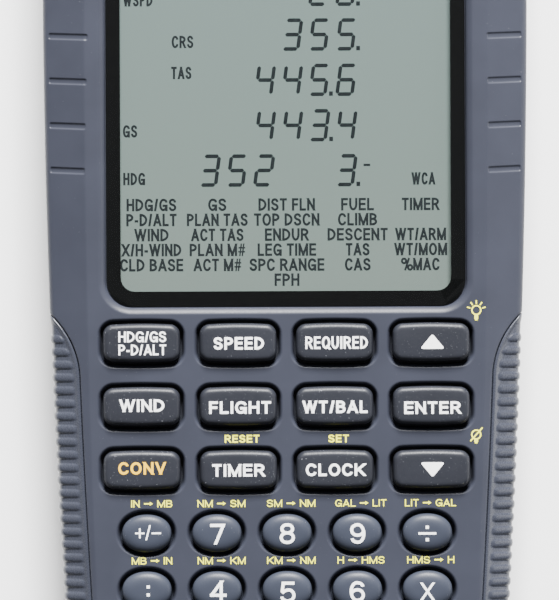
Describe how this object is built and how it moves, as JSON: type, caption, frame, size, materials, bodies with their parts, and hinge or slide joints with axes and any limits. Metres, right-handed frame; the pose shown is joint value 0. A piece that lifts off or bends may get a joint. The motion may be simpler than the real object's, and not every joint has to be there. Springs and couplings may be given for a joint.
{
  "type": "electronic flight computer",
  "caption": "Hand-held electronic flight computer with a large display, wide function keys, oval number keys, ribbed side grips and a sliding battery door.",
  "frame": {"origin": "centre of the flat back, on the surface it lies on", "axes": "+Z out of the keypad face, +Y towards the display end, +X to the user's right"},
  "size_m": [0.0828, 0.17, 0.0214],
  "materials": {
    "case_front": "satin",
    "case_back": "satin",
    "grip": "semi-matte",
    "lens": "polished",
    "adhesive": "matte",
    "lcd": "matte polariser",
    "diffuser": "matte",
    "inner_black": "matte",
    "connector_rubber": "matte",
    "mat_rubber": "matte",
    "circuit_board": "solder mask",
    "chip": "matte",
    "tin": "satin",
    "capacitor_sleeve": "satin",
    "cell_jacket": "glossy wrap",
    "nickel": "nickel plated",
    "screw_steel": "zinc plated",
    "function_key": "fine matte",
    "number_key": "semi-matte"
  },
  "bodies": {
    "housing": {"front_case": "case_front", "rear_case": "case_back", "left_grip": "grip", "right_grip": "grip", "display_lens": "lens", "lens_adhesive": "adhesive", "lcd_panel": "lcd", "backlight_panel": "diffuser", "display_frame": "inner_black", "lcd_connector_strips": "connector_rubber", "key_mat": "mat_rubber", "contact_pills": "mat_rubber", "main_board": "circuit_board", "processor": "chip", "crystal": "tin", "capacitors": "capacitor_sleeve", "buzzer": "inner_black", "battery_cell_1": "cell_jacket", "battery_cell_2": "cell_jacket", "battery_cell_3": "cell_jacket", "battery_cell_4": "cell_jacket", "battery_contact_plates": "nickel", "battery_contact_springs": "nickel", "case_screws": "screw_steel", "board_screws": "screw_steel"},
    "door": {"battery_door": "case_back"},
    "cap_heading": {"key_heading": "function_key"},
    "cap_speed": {"key_speed": "function_key"},
    "cap_required": {"key_required": "function_key"},
    "cap_up": {"key_up": "function_key"},
    "cap_wind": {"key_wind": "function_key"},
    "cap_flight": {"key_flight": "function_key"},
    "cap_balance": {"key_balance": "function_key"},
    "cap_enter": {"key_enter": "function_key"},
    "cap_convert": {"key_convert": "function_key"},
    "cap_timer": {"key_timer": "function_key"},
    "cap_clock": {"key_clock": "function_key"},
    "cap_down": {"key_down": "function_key"},
    "cap_sign": {"key_sign": "number_key"},
    "cap_7": {"key_7": "number_key"},
    "cap_8": {"key_8": "number_key"},
    "cap_9": {"key_9": "number_key"},
    "cap_divide": {"key_divide": "number_key"},
    "cap_colon": {"key_colon": "number_key"},
    "cap_4": {"key_4": "number_key"},
    "cap_5": {"key_5": "number_key"},
    "cap_6": {"key_6": "number_key"},
    "cap_multiply": {"key_multiply": "number_key"},
    "cap_clear": {"key_clear": "number_key"},
    "cap_1": {"key_1": "number_key"},
    "cap_2": {"key_2": "number_key"},
    "cap_3": {"key_3": "number_key"},
    "cap_minus": {"key_minus": "number_key"},
    "cap_power": {"key_power": "number_key"},
    "cap_0": {"key_0": "number_key"},
    "cap_point": {"key_point": "number_key"},
    "cap_equals": {"key_equals": "number_key"},
    "cap_plus": {"key_plus": "number_key"}
  },
  "joints": [
    {"name": "battery_door_slide", "type": "slide", "parent": "housing", "child": "door", "axis": [0, -1, 0], "range_m": [0, 0.062]},
    {"name": "key_heading_press", "type": "slide", "parent": "housing", "child": "cap_heading", "axis": [0, 0, -1], "range_m": [0, 0.001], "stiffness_N_per_m": 600, "springref_m": -0.0008, "deforming": ["key_mat"]},
    {"name": "key_speed_press", "type": "slide", "parent": "housing", "child": "cap_speed", "axis": [0, 0, -1], "range_m": [0, 0.001], "stiffness_N_per_m": 600, "springref_m": -0.0008},
    {"name": "key_required_press", "type": "slide", "parent": "housing", "child": "cap_required", "axis": [0, 0, -1], "range_m": [0, 0.001], "stiffness_N_per_m": 600, "springref_m": -0.0008},
    {"name": "key_up_press", "type": "slide", "parent": "housing", "child": "cap_up", "axis": [0, 0, -1], "range_m": [0, 0.001], "stiffness_N_per_m": 600, "springref_m": -0.0008},
    {"name": "key_wind_press", "type": "slide", "parent": "housing", "child": "cap_wind", "axis": [0, 0, -1], "range_m": [0, 0.001], "stiffness_N_per_m": 600, "springref_m": -0.0008},
    {"name": "key_flight_press", "type": "slide", "parent": "housing", "child": "cap_flight", "axis": [0, 0, -1], "range_m": [0, 0.001], "stiffness_N_per_m": 600, "springref_m": -0.0008},
    {"name": "key_balance_press", "type": "slide", "parent": "housing", "child": "cap_balance", "axis": [0, 0, -1], "range_m": [0, 0.001], "stiffness_N_per_m": 600, "springref_m": -0.0008},
    {"name": "key_enter_press", "type": "slide", "parent": "housing", "child": "cap_enter", "axis": [0, 0, -1], "range_m": [0, 0.001], "stiffness_N_per_m": 600, "springref_m": -0.0008},
    {"name": "key_convert_press", "type": "slide", "parent": "housing", "child": "cap_convert", "axis": [0, 0, -1], "range_m": [0, 0.001], "stiffness_N_per_m": 600, "springref_m": -0.0008},
    {"name": "key_timer_press", "type": "slide", "parent": "housing", "child": "cap_timer", "axis": [0, 0, -1], "range_m": [0, 0.001], "stiffness_N_per_m": 600, "springref_m": -0.0008},
    {"name": "key_clock_press", "type": "slide", "parent": "housing", "child": "cap_clock", "axis": [0, 0, -1], "range_m": [0, 0.001], "stiffness_N_per_m": 600, "springref_m": -0.0008},
    {"name": "key_down_press", "type": "slide", "parent": "housing", "child": "cap_down", "axis": [0, 0, -1], "range_m": [0, 0.001], "stiffness_N_per_m": 600, "springref_m": -0.0008},
    {"name": "key_sign_press", "type": "slide", "parent": "housing", "child": "cap_sign", "axis": [0, 0, -1], "range_m": [0, 0.001], "stiffness_N_per_m": 600, "springref_m": -0.0008},
    {"name": "key_7_press", "type": "slide", "parent": "housing", "child": "cap_7", "axis": [0, 0, -1], "range_m": [0, 0.001], "stiffness_N_per_m": 600, "springref_m": -0.0008},
    {"name": "key_8_press", "type": "slide", "parent": "housing", "child": "cap_8", "axis": [0, 0, -1], "range_m": [0, 0.001], "stiffness_N_per_m": 600, "springref_m": -0.0008},
    {"name": "key_9_press", "type": "slide", "parent": "housing", "child": "cap_9", "axis": [0, 0, -1], "range_m": [0, 0.001], "stiffness_N_per_m": 600, "springref_m": -0.0008},
    {"name": "key_divide_press", "type": "slide", "parent": "housing", "child": "cap_divide", "axis": [0, 0, -1], "range_m": [0, 0.001], "stiffness_N_per_m": 600, "springref_m": -0.0008},
    {"name": "key_colon_press", "type": "slide", "parent": "housing", "child": "cap_colon", "axis": [0, 0, -1], "range_m": [0, 0.001], "stiffness_N_per_m": 600, "springref_m": -0.0008},
    {"name": "key_4_press", "type": "slide", "parent": "housing", "child": "cap_4", "axis": [0, 0, -1], "range_m": [0, 0.001], "stiffness_N_per_m": 600, "springref_m": -0.0008},
    {"name": "key_5_press", "type": "slide", "parent": "housing", "child": "cap_5", "axis": [0, 0, -1], "range_m": [0, 0.001], "stiffness_N_per_m": 600, "springref_m": -0.0008},
    {"name": "key_6_press", "type": "slide", "parent": "housing", "child": "cap_6", "axis": [0, 0, -1], "range_m": [0, 0.001], "stiffness_N_per_m": 600, "springref_m": -0.0008},
    {"name": "key_multiply_press", "type": "slide", "parent": "housing", "child": "cap_multiply", "axis": [0, 0, -1], "range_m": [0, 0.001], "stiffness_N_per_m": 600, "springref_m": -0.0008},
    {"name": "key_clear_press", "type": "slide", "parent": "housing", "child": "cap_clear", "axis": [0, 0, -1], "range_m": [0, 0.001], "stiffness_N_per_m": 600, "springref_m": -0.0008},
    {"name": "key_1_press", "type": "slide", "parent": "housing", "child": "cap_1", "axis": [0, 0, -1], "range_m": [0, 0.001], "stiffness_N_per_m": 600, "springref_m": -0.0008},
    {"name": "key_2_press", "type": "slide", "parent": "housing", "child": "cap_2", "axis": [0, 0, -1], "range_m": [0, 0.001], "stiffness_N_per_m": 600, "springref_m": -0.0008},
    {"name": "key_3_press", "type": "slide", "parent": "housing", "child": "cap_3", "axis": [0, 0, -1], "range_m": [0, 0.001], "stiffness_N_per_m": 600, "springref_m": -0.0008},
    {"name": "key_minus_press", "type": "slide", "parent": "housing", "child": "cap_minus", "axis": [0, 0, -1], "range_m": [0, 0.001], "stiffness_N_per_m": 600, "springref_m": -0.0008},
    {"name": "key_power_press", "type": "slide", "parent": "housing", "child": "cap_power", "axis": [0, 0, -1], "range_m": [0, 0.001], "stiffness_N_per_m": 600, "springref_m": -0.0008},
    {"name": "key_0_press", "type": "slide", "parent": "housing", "child": "cap_0", "axis": [0, 0, -1], "range_m": [0, 0.001], "stiffness_N_per_m": 600, "springref_m": -0.0008},
    {"name": "key_point_press", "type": "slide", "parent": "housing", "child": "cap_point", "axis": [0, 0, -1], "range_m": [0, 0.001], "stiffness_N_per_m": 600, "springref_m": -0.0008},
    {"name": "key_equals_press", "type": "slide", "parent": "housing", "child": "cap_equals", "axis": [0, 0, -1], "range_m": [0, 0.001], "stiffness_N_per_m": 600, "springref_m": -0.0008},
    {"name": "key_plus_press", "type": "slide", "parent": "housing", "child": "cap_plus", "axis": [0, 0, -1], "range_m": [0, 0.001], "stiffness_N_per_m": 600, "springref_m": -0.0008}
  ]
}
